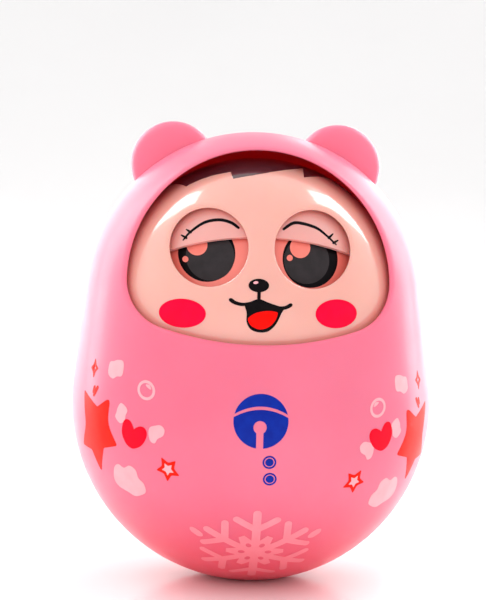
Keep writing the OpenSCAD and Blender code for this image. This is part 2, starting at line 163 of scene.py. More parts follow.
def tube(name, spokes, rings, place, closed):
    """Extrudes a circle into a tube, joins its ends if closed, and lays each corner at place(ring, spoke)."""
    bpy.ops.object.select_all(action="DESELECT")
    bpy.ops.mesh.primitive_circle_add(vertices=spokes, radius=1, location=(0, 0, 0))
    piece = bpy.context.object
    piece.name = piece.data.name = name
    bpy.ops.object.mode_set(mode="EDIT")
    bpy.ops.mesh.select_all(action="SELECT")
    for _ in range(rings - 1):
        bpy.ops.mesh.extrude_region_move(TRANSFORM_OT_translate={"value": (0, 0, 1)})
    if closed:
        pick(piece, lambda at: round(at.z) in (0, rings - 1))
        bpy.ops.mesh.bridge_edge_loops()
    bpy.ops.object.mode_set(mode="OBJECT")
    for corner in piece.data.vertices:
        spoke = round(math.atan2(corner.co.y, corner.co.x) / math.tau * spokes) % spokes
        corner.co = place(round(corner.co.z), spoke)
    return piece


# %% The egg's form, to cut and wrap pieces with
def egg_form(name, depth, spokes=256, steps=60):
    """A closed egg, depth inside the skin: foot, belly arc, crown arc."""
    low = -math.acos(FOOT_R / BELLY_R)
    sweep = [(BELLY_R, BELLY_Z, low + (CONE - low) * i / steps) for i in range(steps + 1)]
    sweep += [(CROWN_R, CROWN_Z, CONE + (math.pi / 2 - CONE) * i / steps) for i in range(steps + 1)]
    profile = [((r - depth) * math.cos(a), z + (r - depth) * math.sin(a)) for r, z, a in sweep]
    profile = [(0, profile[0][1])] + profile

    def place(ring, spoke):
        angle = spoke / spokes * math.tau
        return (profile[ring][0] * math.cos(angle), profile[ring][0] * math.sin(angle), profile[ring][1])

    return tidy_mesh(tube(name, spokes, len(profile), place, closed=False))


egg_skin = egg_form("egg_skin", 0)
egg_core = egg_form("egg_core", WALL / 2)
print("egg skin:", len(egg_skin.data.polygons), "faces")

# %% [markdown]
# ## Glossy plastic
# The shells are injection-moulded and polished, so their colour drifts only a little, in soft clouds where
# the melt flowed, and a thin clear coat lies over a satin base. A very fine grain keeps the highlights from
# looking like glass. Towards the foot the pink is painted deeper: this is painted shade of the underside, and
# partly the dark weight showing through the thin wall. One recipe serves every plastic, ink and metal with its own
# numbers.

# %% The recipe for a finish
# Painted shade: between these two heights the colour darkens towards the foot.
SHADE_TOP, SHADE_FOOT = 0.046, 0.002
CLOUD_FROM, CLOUD_TO = 0.35, 0.65
ROUGH_FINER = 6
GRAIN_STRENGTH = 0.25
GRAIN, FINE_GRAIN, INK_GRAIN = (2600, 0.00002), (2600, 0.00001), (3200, 0.000012)


def finish(name, light, dark, patch, rough, grain, deep=None, **sockets):
    """Colour drifts from light to dark in patches, roughness in its range, and a grain bumps the surface.
    Where a foot colour is given, the colour darkens to it towards the foot: painted shade."""
    material = bpy.data.materials.new(name)
    material.use_nodes = True
    tree = material.node_tree
    shader = tree.nodes["Principled BSDF"]
    place = tree.nodes.new("ShaderNodeTexCoord")

    def noise(scale, detail):
        node = tree.nodes.new("ShaderNodeTexNoise")
        node.inputs["Scale"].default_value, node.inputs["Detail"].default_value = scale, detail
        tree.links.new(place.outputs["Object"], node.inputs["Vector"])
        return node

    ramp = tree.nodes.new("ShaderNodeValToRGB")
    for stop, at, shade in zip(ramp.color_ramp.elements, (CLOUD_FROM, CLOUD_TO), (dark, light)):
        stop.position, stop.color = at, (*shade, 1)
    tree.links.new(noise(patch, 3).outputs["Fac"], ramp.inputs["Fac"])
    colour = ramp.outputs["Color"]
    # Painted shade: the colour blends towards a darker one near the foot.
    if deep:
        height = tree.nodes.new("ShaderNodeSeparateXYZ")
        tree.links.new(place.outputs["Object"], height.inputs["Vector"])
        shade_fade = tree.nodes.new("ShaderNodeMapRange")
        shade_fade.interpolation_type = "SMOOTHSTEP"
        shade_fade.inputs["From Min"].default_value, shade_fade.inputs["From Max"].default_value = SHADE_TOP, SHADE_FOOT
        tree.links.new(height.outputs["Z"], shade_fade.inputs["Value"])
        shade_blend = tree.nodes.new("ShaderNodeMix")
        shade_blend.data_type = "RGBA"
        tree.links.new(shade_fade.outputs["Result"], shade_blend.inputs[0])
        tree.links.new(colour, shade_blend.inputs[6])
        shade_blend.inputs[7].default_value = (*deep, 1)
        colour = shade_blend.outputs[2]
    tree.links.new(colour, shader.inputs["Base Color"])
    spread = tree.nodes.new("ShaderNodeMapRange")
    spread.inputs["To Min"].default_value, spread.inputs["To Max"].default_value = rough
    tree.links.new(noise(patch * ROUGH_FINER, 4).outputs["Fac"], spread.inputs["Value"])
    tree.links.new(spread.outputs["Result"], shader.inputs["Roughness"])
    bump = tree.nodes.new("ShaderNodeBump")
    grain_scale, grain_depth = grain
    bump.inputs["Strength"].default_value, bump.inputs["Distance"].default_value = GRAIN_STRENGTH, grain_depth
    tree.links.new(noise(grain_scale, 2).outputs["Fac"], bump.inputs["Height"])
    tree.links.new(bump.outputs["Normal"], shader.inputs["Normal"])
    for socket, value in sockets.items():
        shader.inputs[socket.replace("_", " ")].default_value = value
    return material


def dress(piece, material, body, slot, *nodes):
    """Gives a piece its finish, the body it rides on and the nodes it stands for; slot is not used."""
    piece.data.materials.clear()
    piece.data.materials.append(material)
    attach(piece, body)
    if nodes:
        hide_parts(*nodes)
    print(piece.name, "-", len(piece.data.polygons), "faces, rides on", body)


# The pink darkens towards the foot. This is painted shade of the underside, and partly the weight showing through.
body_pink = finish("body_pink", (0.97, 0.205, 0.315), (0.94, 0.175, 0.28), 14, (0.30, 0.42), GRAIN,
                   deep=(0.95, 0.075, 0.125), Coat_Weight=0.06, Coat_Roughness=0.12,
                   Specular_IOR_Level=0.32, Subsurface_Weight=0.25, Subsurface_Scale=0.008)
print("first finish:", body_pink.name)

# %% [markdown]
# ## Front shell
# The front half of the body carries the hood's opening: an arch over the brow, round cheeks and a gently
# curved chin. Cutting a hole into an egg would leave ragged faces along it. Instead the tube starts at the
# opening's edge and runs out over the belly to the seam, so every ring is a step from one outline to the
# other.

# %% The opening's outline
HOOD_Z = 0.11726
ARCH_R, CHEEK_R, CHIN_DROP = 0.0488, 0.0177, 0.0221
CHEEK_X = ARCH_R - CHEEK_R
CHIN_R = (CHEEK_X ** 2 + CHIN_DROP ** 2 - CHEEK_R ** 2) / (2 * (CHIN_DROP - CHEEK_R))
CHIN_UP = CHIN_R - CHIN_DROP
HALVINGS = 40


def hood_reach(angle):
    """How far the opening's edge is from its centre: the arch above, then cheek and chin arcs."""
    across, down = abs(math.cos(angle)), -math.sin(angle)
    if down <= 0:
        return ARCH_R
    if down * CHIN_R * CHEEK_X < across * CHIN_UP * CHEEK_R:
        return CHEEK_X * across + math.sqrt(max(CHEEK_R ** 2 - (CHEEK_X * down) ** 2, 0))
    return -CHIN_UP * down + math.sqrt((CHIN_UP * down) ** 2 + CHIN_R ** 2 - CHIN_UP ** 2)


def furthest(inside, far):
    """The longest reach that is still inside, by halving."""
    near = 0
    for _ in range(HALVINGS):
        middle = (near + far) / 2
        near, far = (middle, far) if inside(middle) else (near, middle)
    return near


def side_reach(angle, depth):
    """How far the egg's side outline is from the opening's centre."""
    def inside(reach):
        return abs(reach * math.cos(angle)) < egg_radius(HOOD_Z + reach * math.sin(angle), depth)

    return furthest(inside, BELLY_R + CROWN_R)


print("chin radius", round(CHIN_R, 4))

# %% Lay the front shell
SPOKES = 192
RIM = 0.0022
SEAM, SEAM_GAP = 0.0005, 0.00003
OUT_RINGS, IN_RINGS, RIM_RINGS = 40, 14, 9


def ease(share):
    """Closer steps towards the seam, where the egg turns away from the viewer."""
    return math.sin(share * math.pi / 2)


front_rows = [("wall", ease(i / OUT_RINGS), 0) for i in range(OUT_RINGS + 1)]
front_rows += [("seam", SEAM, 0), ("seam", SEAM_GAP, SEAM), ("seam", SEAM_GAP, WALL)]
front_rows += [("wall", ease(1 - i / IN_RINGS), WALL) for i in range(IN_RINGS + 1)]
front_rows += [("rim", math.pi * (1 - i / (RIM_RINGS + 1)), 0) for i in range(1, RIM_RINGS + 1)]
hood_edge = [hood_reach(spoke / SPOKES * math.tau) for spoke in range(SPOKES)]
side_edge = {(spoke, depth): side_reach(spoke / SPOKES * math.tau, depth)
             for spoke in range(SPOKES) for depth in (0, SEAM, WALL)}


def front_place(ring, spoke):
    kind, value, depth = front_rows[ring]
    angle = spoke / SPOKES * math.tau
    if kind == "rim":
        reach = hood_edge[spoke] + RIM * (1 - math.sin(value))
        depth = WALL / 2 * (1 - math.cos(value))
    else:
        near, far = hood_edge[spoke] + RIM, side_edge[spoke, depth]
        reach = far if kind == "seam" else near + (far - near) * value
    x, z = reach * math.cos(angle), HOOD_Z + reach * math.sin(angle)
    return Vector((x, -value, z)) if kind == "seam" else on_egg(x, z, depth)


front = tidy_mesh(tube("front_skin", SPOKES, len(front_rows), front_place, closed=True))
dress(front, body_pink, "body", "body_pink", "front_shell")

# %% [markdown]
# ## Ears
# Each ear is a fat round button on the hood, softer than a cylinder and flatter than a ball. Its half outline
# is a squared-off circle turned about the ear's own axis. The egg's core then cuts away what would poke
# through the hood, so the ear sits in the wall with no gap.

# %% Turn and cut the ears
EAR_SPOKES, EAR_RINGS = 96, 32
EAR_R, EAR_SQUARE = 0.0166, 2.7


def ear(name, node):
    low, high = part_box(node)
    thick = high.y - low.y
    x = high.x - EAR_R if low.x > 0 else low.x + EAR_R
    centre = Vector((x, (low.y + high.y) / 2, high.z - EAR_R))

    def place(ring, spoke):
        sweep, angle = math.pi * ring / EAR_RINGS, spoke / EAR_SPOKES * math.tau
        out = EAR_R * math.sin(sweep) ** (2 / EAR_SQUARE) if 0 < ring < EAR_RINGS else 0
        along = math.copysign(abs(math.cos(sweep)) ** (2 / EAR_SQUARE), -math.cos(sweep)) * thick / 2
        return centre + Vector((out * math.cos(angle), along, out * math.sin(angle)))

    piece = tidy_mesh(tube(name, EAR_SPOKES, EAR_RINGS + 1, place, closed=False))
    modify(piece, "BOOLEAN", operation="DIFFERENCE", object=egg_core, solver="EXACT")
    return tidy_mesh(piece)


for side_name in ("left", "right"):
    node_name = "ear_" + side_name
    dress(ear("ear_button_" + side_name, node_name), body_pink, "body", "body_pink", node_name)

# %% [markdown]
# ## Face
# The face is a half barrel of peach plastic that turns about the nod pins just inside the hood, with two
# round eye holes. It is made like the front shell, one half at a time: the tube starts at the eye hole's edge
# and runs out to the middle of the face and to the barrel's back edge, then the half is mirrored.

# %% The face's curve
CHEEK_FILL = 0.0027
FACE_ARC_R = FACE_R + CHEEK_FILL
EYE_X, EYE_Z, EYE_HOLE_R = 0.01899, AXLE.z + 0.02142, 0.01421
MASK_WALL = 0.002
HOLE_RIM = 0.0021


def face_radius(x, depth=0):
    """The face's radius about the nod axle: an arc from side to side, centred behind the axle."""
    return math.sqrt(max((FACE_ARC_R - depth) ** 2 - x ** 2, 0)) - CHEEK_FILL


def on_face(x, z, depth=0):
    """The point of the face's front at x and z."""
    return Vector((x, AXLE.y - math.sqrt(max(face_radius(x, depth) ** 2 - (z - AXLE.z) ** 2, 0)), z))


def half_reach(angle, depth):
    """From an eye's centre to the edge of its half of the face."""
    def inside(reach):
        x, rise = EYE_X + reach * math.cos(angle), EYE_Z - AXLE.z + reach * math.sin(angle)
        return 0 < x < FACE_R and abs(rise) < face_radius(x, depth)

    return furthest(inside, 2 * FACE_R)


face_skin = finish("face_skin", (0.97, 0.45, 0.375), (0.94, 0.41, 0.34), 16, (0.18, 0.26), FINE_GRAIN,
                   Coat_Weight=0.9, Coat_Roughness=0.03, Subsurface_Weight=0.3, Subsurface_Scale=0.006)
print("face's arc", round(FACE_ARC_R, 5), "from side to side")

# %% Lay the face
FACE_SPOKES, FACE_OUT, FACE_IN, FACE_RIM = 144, 34, 14, 9
FACE_STEP = math.tau / FACE_SPOKES
ON_MIDDLE = 0.000001
face_rows = [("wall", ease(i / FACE_OUT), 0) for i in range(FACE_OUT + 1)]
face_rows += [("wall", ease(1 - i / FACE_IN), MASK_WALL) for i in range(FACE_IN + 1)]
face_rows += [("rim", math.pi * (1 - i / (FACE_RIM + 1)), 0) for i in range(1, FACE_RIM + 1)]
face_edge = {}
for depth in (0, MASK_WALL):
    for spoke in range(FACE_SPOKES):
        face_edge[spoke, depth] = (half_reach(spoke * FACE_STEP, depth), spoke * FACE_STEP)
    for rise in (face_radius(0, depth), -face_radius(0, depth)):
        corner = Vector((-EYE_X, AXLE.z + rise - EYE_Z))
        angle = math.atan2(corner.y, corner.x) % math.tau
        face_edge[round(angle / FACE_STEP) % FACE_SPOKES, depth] = (corner.length, angle)


def face_place(ring, spoke):
    kind, value, depth = face_rows[ring]
    angle = spoke * FACE_STEP
    if kind == "rim":
        reach = EYE_HOLE_R + HOLE_RIM * (1 - math.sin(value))
        depth = MASK_WALL / 2 * (1 - math.cos(value))
    else:
        near = EYE_HOLE_R + HOLE_RIM
        far, edge_angle = face_edge[spoke, depth]
        reach, angle = near + (far - near) * value, angle + (edge_angle - angle) * value
    return on_face(EYE_X + reach * math.cos(angle), EYE_Z + reach * math.sin(angle), depth)


face = tube("face_skin", FACE_SPOKES, len(face_rows), face_place, closed=True)
pick(face, lambda at: abs(at.x) < ON_MIDDLE)
bpy.ops.mesh.delete(type="ONLY_FACE")
bpy.ops.object.mode_set(mode="OBJECT")
modify(face, "MIRROR", merge_threshold=MERGE)
dress(tidy_mesh(face), face_skin, "head", "face_skin", "face_mask")

# %% [markdown]
# ## Eyes, lids and the works inside
# The eye dishes and the lids are pieces of plain balls whose CAD shape is already right, and so is that of
# the rear shell, the weight, the chime and the screws. They keep their meshes and only get finishes.

# %% Finishes for the nodes that stay
lid_skin = finish("eyelid_skin", (0.95, 0.41, 0.37), (0.90, 0.36, 0.325), 18, (0.2, 0.3), FINE_GRAIN,
                  Coat_Weight=0.6, Coat_Roughness=0.05, Subsurface_Weight=0.3, Subsurface_Scale=0.005)
eye_salmon = finish("eye_salmon", (1.0, 0.235, 0.185), (0.95, 0.20, 0.155), 18, (0.15, 0.22), FINE_GRAIN,
                    Coat_Weight=0.5, Coat_Roughness=0.04)
white_plastic = finish("white_plastic", (0.82, 0.80, 0.72), (0.74, 0.72, 0.64), 20, (0.45, 0.6),
                       (1800, 0.00004))
steel = finish("zinc_steel", (0.72, 0.73, 0.75), (0.55, 0.57, 0.60), 240, (0.22, 0.42), (1500, 0.00003),
               Metallic=1)
iron = finish("cast_iron", (0.16, 0.15, 0.15), (0.07, 0.065, 0.06), 320, (0.55, 0.8), (900, 0.0002),
              Metallic=0.6)
wood = finish("striker_wood", (0.62, 0.42, 0.24), (0.45, 0.28, 0.14), 420, (0.45, 0.6), (1600, 0.00008))
node_finish = {"body_pink": body_pink, "face_skin": face_skin, "eyelid_skin": lid_skin,
               "eye_salmon": eye_salmon, "white_plastic": white_plastic, "steel": steel, "iron": iron,
               "striker_wood": wood}
for part in frame["record"]["subparts"]:
    node = frame["nodes"][part["node"]]
    node.data.materials.clear()
    node.data.materials.append(node_finish[part["material_slot"]])
print("finished", len(frame["nodes"]), "CAD nodes")

# %% [markdown]
# ## Prints
# The decorations are pad-printed: a thin film of ink laid on the curved plastic. Painting them in a shader
# would blur their edges, so each is drawn flat as a filled curve, made a mesh, cut into small cells so that
# it can bend, wrapped on the plastic and given the thickness of a film.

# %% Drawing helpers
def arc(x, z, radius, start=0, end=360, steps=40):
    """Points along an arc; a full turn leaves out the last point."""
    count = steps if abs(end - start) >= 360 else steps + 1
    angles = [math.radians(start + (end - start) * i / steps) for i in range(count)]
    return [(x + radius * math.cos(a), z + radius * math.sin(a)) for a in angles]


def oval(x, z, half_wide, half_high, steps=48):
    return [(x + half_wide * px, z + half_high * pz) for px, pz in arc(0, 0, 1, steps=steps)]


def soft(points, steps=8):
    """A smooth closed line through the points."""
    line, count = [], len(points)
    for i in range(count):
        a, b, c, d = (Vector(points[(i + k) % count]) for k in (-1, 0, 1, 2))
        for k in range(steps):
            t = k / steps
            line.append(tuple(0.5 * (2 * b + (c - a) * t + (2 * a - 5 * b + 4 * c - d) * t ** 2
                                     + (3 * b - a - 3 * c + d) * t ** 3)))
    return line


def stroke(points, widths, steps=8):
    """A brush line through the points, half as thick as its widths on either side, with round ends."""
    left, right = [], []
    for i, point in enumerate(points):
        before, after = Vector(points[max(i - 1, 0)]), Vector(points[min(i + 1, len(points) - 1)])
        side = (after - before).normalized().orthogonal() * widths[i] / 2
        left.append(tuple(Vector(point) + side))
        right.append(tuple(Vector(point) - side))
    tips = []
    for end, other, width in ((points[-1], points[-2], widths[-1]), (points[0], points[1], widths[0])):
        tips.append(tuple(Vector(end) + (Vector(end) - Vector(other)).normalized() * width / 2))
    return soft(left + tips[:1] + right[::-1] + tips[1:], steps)


def turned(points, degrees):
    turn_by = Matrix.Rotation(math.radians(degrees), 2)
    return [tuple(turn_by @ Vector(point)) for point in points]


def scaled(points, size):
    return [(x * size, z * size) for x, z in points]


def flipped(points):
    return [(-x, z) for x, z in points]


# %% From a flat drawing to a film of ink
INK = 0.00006
FILM = 0.00012
CELL = 0.002


def flat_film(name, loops):
    """Fills the loops as one flat curve, makes it a mesh standing in the XZ plane, and cuts it into cells."""
    drawing = bpy.data.curves.new(name, "CURVE")
    drawing.dimensions, drawing.fill_mode = "2D", "BOTH"
    for loop in loops:
        spline = drawing.splines.new("POLY")
        spline.points.add(len(loop) - 1)
        spline.use_cyclic_u = True
        for knot, (x, z) in zip(spline.points, loop):
            knot.co = (x, z, 0, 1)
    piece = bpy.data.objects.new(name, drawing)
    bpy.context.scene.collection.objects.link(piece)
    select_only(piece)
    bpy.ops.object.convert(target="MESH")
    piece = bpy.context.object
    bpy.ops.object.mode_set(mode="EDIT")
    bpy.ops.mesh.select_all(action="SELECT")
    bpy.ops.mesh.remove_doubles(threshold=MERGE)
    bpy.ops.mesh.dissolve_limited(angle_limit=0.001)
    for axis in (0, 1):
        reach = [point[axis] for loop in loops for point in loop]
        for line in range(math.ceil(min(reach) / CELL), math.floor(max(reach) / CELL) + 1):
            across = [0, 0, 0]
            across[axis] = 1
            bpy.ops.mesh.select_all(action="SELECT")
            bpy.ops.mesh.bisect(plane_co=[line * CELL * value for value in across], plane_no=across)
    bpy.ops.object.mode_set(mode="OBJECT")
    piece.data.transform(Matrix.Rotation(math.pi / 2, 4, "X"))
    return piece


def film(name, drawings, target, lift, front=False):
    """Joins flat drawings, each with its place, wraps them on the target and makes them a film."""
    pieces = []
    for loops, place in drawings:
        piece = flat_film(name, loops)
        piece.data.transform(place)
        pieces.append(piece)
    select_only(pieces[0])
    for piece in pieces:
        piece.select_set(True)
    if len(pieces) > 1:
        bpy.ops.object.join()
    piece = bpy.context.object
    piece.name = piece.data.name = name
    aim = {"wrap_method": "PROJECT", "use_project_y": True} if front else {}
    modify(piece, "SHRINKWRAP", target=target, offset=lift, wrap_mode="ABOVE_SURFACE", **aim)
    modify(piece, "SOLIDIFY", thickness=FILM, offset=-1)
    return tidy_mesh(piece)


def ink(name, light, dark, gloss=0.2, **foot_shading):
    """A printing ink; the darker it is, the less gloss it takes before it looks grey."""
    return finish(name, light, dark, 260, (0.3, 0.42), INK_GRAIN, Coat_Weight=gloss,
                  Coat_Roughness=0.12, Specular_IOR_Level=gloss, **foot_shading)


def on_belly(angle, z):
    """The place on the egg at an angle from the front, to the viewer's right, and a height."""
    radius = egg_radius(z)
    slope = math.asin(max(min((z - BELLY_Z) / BELLY_R, math.sin(CONE)), -1))
    return (Matrix.Rotation(math.radians(angle), 4, "Z") @ Matrix.Translation((0, -radius, z))
            @ Matrix.Rotation(-slope, 4, "X"))


print("films of ink:", FILM, "m thick, in cells of", CELL, "m")

# %% [markdown]
# ## Bell and buttons
# A blue bell with a curved band and a clapper slot sits under the chin, with two ringed buttons below it. The
# band and the slot are bare plastic, so the bell is drawn as a cap and a bowl with a keyhole cut in.

# %% Bell and buttons
BELL_R = 0.0100
BAND_UP, BAND_END, BAND = 0.0048, 0.0020, 0.0012
SLOT_X, SLOT_Z, SLOT_R, SLOT_HALF = -0.0003, -0.0022, 0.0024, 0.0013


def band_line(shift):
    """The band's edge from left to right: a shallow arch between the bell's sides."""
    end = BAND_END + shift
    half = math.sqrt(BELL_R ** 2 - end ** 2)
    return [(half * k / 10, end + (BAND_UP - BAND_END) * (1 - (k / 10) ** 2)) for k in range(-10, 11)]


def bell_loops():
    top, low = band_line(BAND / 2), band_line(-BAND / 2)
    top_end, low_end = (math.degrees(math.asin(line[0][1] / BELL_R)) for line in (top, low))
    cap = arc(0, 0, BELL_R, top_end, 180 - top_end)[:-1] + top[:-1]
    right, left = (math.degrees(math.asin((SLOT_X + side * SLOT_HALF) / BELL_R)) for side in (1, -1))
    mouth = math.degrees(math.acos(SLOT_HALF / SLOT_R))
    bowl = low[:-1] + arc(0, 0, BELL_R, low_end, right - 90)
    bowl += arc(SLOT_X, SLOT_Z, SLOT_R, -mouth, 180 + mouth)
    bowl += arc(0, 0, BELL_R, left - 90, -180 - low_end)[:-1]
    return [cap, bowl]


blue_ink = ink("blue_ink", (0.0, 0.024, 0.36), (0.0, 0.016, 0.30), gloss=0.1)
BUTTON_R, BUTTON_LINE, BUTTON_EYE = 0.0025, 0.00062, 0.0015
button = [arc(0, 0, BUTTON_R), arc(0, 0, BUTTON_R - BUTTON_LINE), arc(0, 0, BUTTON_EYE, steps=28)]
blue_prints = film("bell_and_buttons", [([loop], on_belly(0.6, 0.0680)) for loop in bell_loops()]
                   + [(button, on_belly(3.5, 0.0531)), (button, on_belly(3.9, 0.0468))], egg_skin, INK)
dress(blue_prints, blue_ink, "body", "body_pink")

# %% [markdown]
# ## Snowflake
# A pale snowflake wraps under the belly. One arm is drawn as half an outline, mirrored and turned six times,
# so all arms are alike, and six small holes show the pink between them. A dash floats beyond each upper arm.

# %% Snowflake
ARM_HALF, ARM_END = 0.0016, 0.0234
TWIG_AT, TWIG_LONG, TWIG_HALF, TWIG_ANGLE = 0.0134, 0.0107, 0.00145, 57
PETAL_R, PETAL_HALF, PETAL_FOOT = 0.0108, 0.0012, 0.0073
FLAKE_HOLE_AT, FLAKE_HOLE_R, FLAKE_HOLE_TALL = 0.0050, 0.0010, 1.3
FLAKE_DASH, FLAKE_DASH_WIDE = [(0.0216, 0.0067), (0.0249, 0.0086)], 0.0028


def flake_outline():
    lean = math.radians(TWIG_ANGLE)
    out, across = Vector((math.sin(lean), math.cos(lean))), Vector((math.cos(lean), -math.sin(lean)))
    root = Vector((0, TWIG_AT))
    low_root = root + across * TWIG_HALF + out * (ARM_HALF - across.x * TWIG_HALF) / out.x
    high_root = root - across * TWIG_HALF + out * (ARM_HALF + across.x * TWIG_HALF) / out.x
    tip = root + out * (TWIG_LONG - TWIG_HALF)
    start = math.degrees(math.atan2(across.y, across.x))
    side = turned([(-PETAL_HALF, PETAL_R)], -30) + [(ARM_HALF, PETAL_FOOT), tuple(low_root)]
    side += arc(tip.x, tip.y, TWIG_HALF, start, start + 180, steps=8) + [tuple(high_root)]
    side += arc(0, ARM_END - ARM_HALF, ARM_HALF, 0, 90, steps=6)
    arm = side + flipped(side[:-1])[::-1]
    return [point for k in range(6) for point in turned(arm, 60 * k)]


pale_ink = ink("pale_ink", (1.0, 0.47, 0.52), (0.97, 0.43, 0.48))
# The snowflake's ink darkens towards the foot as well: painted shade.
flake_ink = ink("snowflake_ink", (1.0, 0.37, 0.44), (0.98, 0.33, 0.40), deep=(1.0, 0.20, 0.25))
flake_hole = oval(0, FLAKE_HOLE_AT, FLAKE_HOLE_R, FLAKE_HOLE_R * FLAKE_HOLE_TALL, 16)
flake_holes = [turned(flake_hole, 30 + 60 * k) for k in range(6)]
flake_dash = stroke(FLAKE_DASH, (FLAKE_DASH_WIDE, FLAKE_DASH_WIDE))
flake = [[flake_outline()] + flake_holes, [flake_dash], [flipped(flake_dash)[::-1]]]
snowflake = film("snowflake", [(loops, on_belly(0.65, 0.01695)) for loops in flake], egg_skin, INK)
dress(snowflake, flake_ink, "body", "body_pink")

# %% [markdown]
# ## Hearts, stars, bubbles and clouds
# Each side of the belly has a red star, a heart, a small outlined star, a sparkle, a bubble and soft clouds.
# Every shape is drawn once at its left place; the right one is its mirror image, nudged to where it sits.

# %% Shapes drawn once
def rounded(corners):
    """A closed line whose corners, each x, z and rounding, are turned into short curves."""
    line, steps = [], 6
    for i, corner in enumerate(corners):
        tip, before, after = (Vector(corners[k % len(corners)][:2]) for k in (i, i - 1, i + 1))
        a, b = (tip + (end - tip).normalized() * corner[2] for end in (before, after))
        for k in range(steps + 1):
            t = k / steps
            line.append(tuple(a * (1 - t) ** 2 + tip * 2 * t * (1 - t) + b * t ** 2))
    return line


def star(reach, notch, lean, rounding):
    """A star of five points, one of them down but for its lean."""
    tips = [turned([(0, -notch if k % 2 else -reach)], lean + 36 * k)[0] for k in range(10)]
    return rounded([(*tip, rounding) for tip in tips])


def sparkle(high, wide, hollow):
    waist_x, waist_z = wide * hollow, high * hollow
    return soft([(0, high), (waist_x, waist_z), (wide, 0), (waist_x, -waist_z),
                 (0, -high), (-waist_x, -waist_z), (-wide, 0), (-waist_x, waist_z)], 4)


HEART = [(-0.0031, 0.0053), (-0.0016, 0.0047), (-0.0007, 0.0035), (0.0000, 0.0020), (0.0002, 0.0018),
         (0.0005, 0.0021), (0.0014, 0.0026), (0.0031, 0.0031), (0.0049, 0.0027), (0.0059, 0.0013),
         (0.0058, -0.0004), (0.0048, -0.0023), (0.0029, -0.0042), (0.0004, -0.0053), (-0.0018, -0.0055),
         (-0.0041, -0.0042), (-0.0055, -0.0021), (-0.0061, 0.0003), (-0.0056, 0.0030), (-0.0046, 0.0048)]
BIG_STAR = [(-0.0108, 0.0130, 0.0012), (0.0009, 0.0073, 0.0008), (0.0096, 0.0118, 0.0036),
            (0.0077, 0.0017, 0.0036), (0.0124, -0.0066, 0.0014), (0.0034, -0.0081, 0.0008),
            (-0.0028, -0.0186, 0.0016), (-0.0064, -0.0099, 0.0010), (-0.0150, -0.0090, 0.0014),
            (-0.0088, -0.0004, 0.0030)]
PUFF = [(-0.0046, -0.0010), (-0.0040, 0.0022), (-0.0018, 0.0027), (0.0004, 0.0033), (0.0034, 0.0030),
        (0.0041, 0.0002), (0.0034, -0.0024), (0.0008, -0.0028), (-0.0014, -0.0037), (-0.0038, -0.0027)]
COMMA = [(-0.0026, 0.0020), (-0.0002, 0.0029), (0.0022, 0.0031), (0.0037, 0.0015), (0.0029, -0.0007),
         (0.0006, -0.0020), (-0.0008, -0.0037), (-0.0026, -0.0029), (-0.0032, -0.0004)]
CLOUD = [(-0.0085, 0.0014), (-0.0066, 0.0047), (-0.0040, 0.0058), (-0.0015, 0.0047), (0.0019, 0.0059),
         (0.0046, 0.0043), (0.0050, 0.0012), (0.0069, -0.0010), (0.0069, -0.0040), (0.0052, -0.0056),
         (0.0005, -0.0069), (-0.0030, -0.0055), (-0.0072, -0.0039), (-0.0090, -0.0016)]
print("drawn:", len(HEART), "points of a heart,", len(CLOUD), "of a cloud")

# %% Lay the side prints
red_ink = ink("red_ink", (1.0, 0.016, 0.004), (0.95, 0.010, 0.002), gloss=0.06)
heart_ink = ink("heart_ink", (1.0, 0.0, 0.024), (0.94, 0.0, 0.019), gloss=0.06)
SPARKLE_HOLE, STAR_HOLE = 0.36, 0.52
STAR_FILL = STAR_HOLE * 0.97


def both(loops, left, right):
    """The same drawing at its left place, and mirrored at its right one."""
    return [(loops, on_belly(*left)), ([flipped(loop)[::-1] for loop in loops], on_belly(*right))]


small_star = star(0.0051, 0.0026, -10, 0.0007)
star_left, star_right = (-28.8, 0.0488), (33.3, 0.0450)
dash_left, dash_right = (-59.0, 0.0749), (61.6, 0.0725)
spark = sparkle(0.0036, 0.0028, 0.40)
long_dash = stroke([(0.0012, 0.0013), (-0.0010, -0.0016)], (0.0015, 0.0013))
short_dash = stroke([(-0.0010, 0.0013), (-0.0017, -0.0004)], (0.0014, 0.0012))
red_prints = (both([rounded(BIG_STAR)], (-58.2, 0.0618), (61.0, 0.0598))
              + both([small_star, scaled(small_star, STAR_HOLE)], star_left, star_right)
              + both([spark, scaled(spark, SPARKLE_HOLE)], (-61.3, 0.0832), (63.2, 0.0808))
              + both([long_dash], dash_left, dash_right) + both([short_dash], dash_left, dash_right))
dress(film("red_stars", red_prints, egg_skin, INK), red_ink, "body", "body_pink")
hearts = film("hearts", both([soft(HEART, 4)], (-40.2, 0.0608), (41.2, 0.0615)), egg_skin, INK * 2)
dress(hearts, heart_ink, "body", "body_pink")

bubble = [turned(oval(0, 0, *half), -25) for half in ((0.0041, 0.0035), (0.0030, 0.0025))]
glint = soft([(-0.0004, 0.0020), (0.0014, 0.0019), (0.0022, 0.0004), (0.0009, 0.0008)], 5)
bubble_left, bubble_right = (-35.9, 0.0773), (39.4, 0.0722)
pale_prints = (both([soft(PUFF)], (-49.2, 0.0840), (51.2, 0.0802))
               + both([soft(turned(scaled(PUFF, 0.80), 55))], (-45.3, 0.0681), (48.3, 0.0641))
               + both([soft(COMMA)], (-32.0, 0.0618), (36.1, 0.0567))
               + both([soft(CLOUD)], (-45.5, 0.0430), (50.0, 0.0395))
               + both(bubble, bubble_left, bubble_right) + both([glint], bubble_left, bubble_right)
               + both([scaled(small_star, STAR_FILL)], star_left, star_right))
dress(film("clouds_and_bubbles", pale_prints, egg_skin, INK), pale_ink, "body", "body_pink")

# %% [markdown]
# ## Face prints
# The nose, the smile and the blushing cheeks are printed on the face's barrel. They were judged from the
# front, so they are drawn flat there and projected straight back onto it.

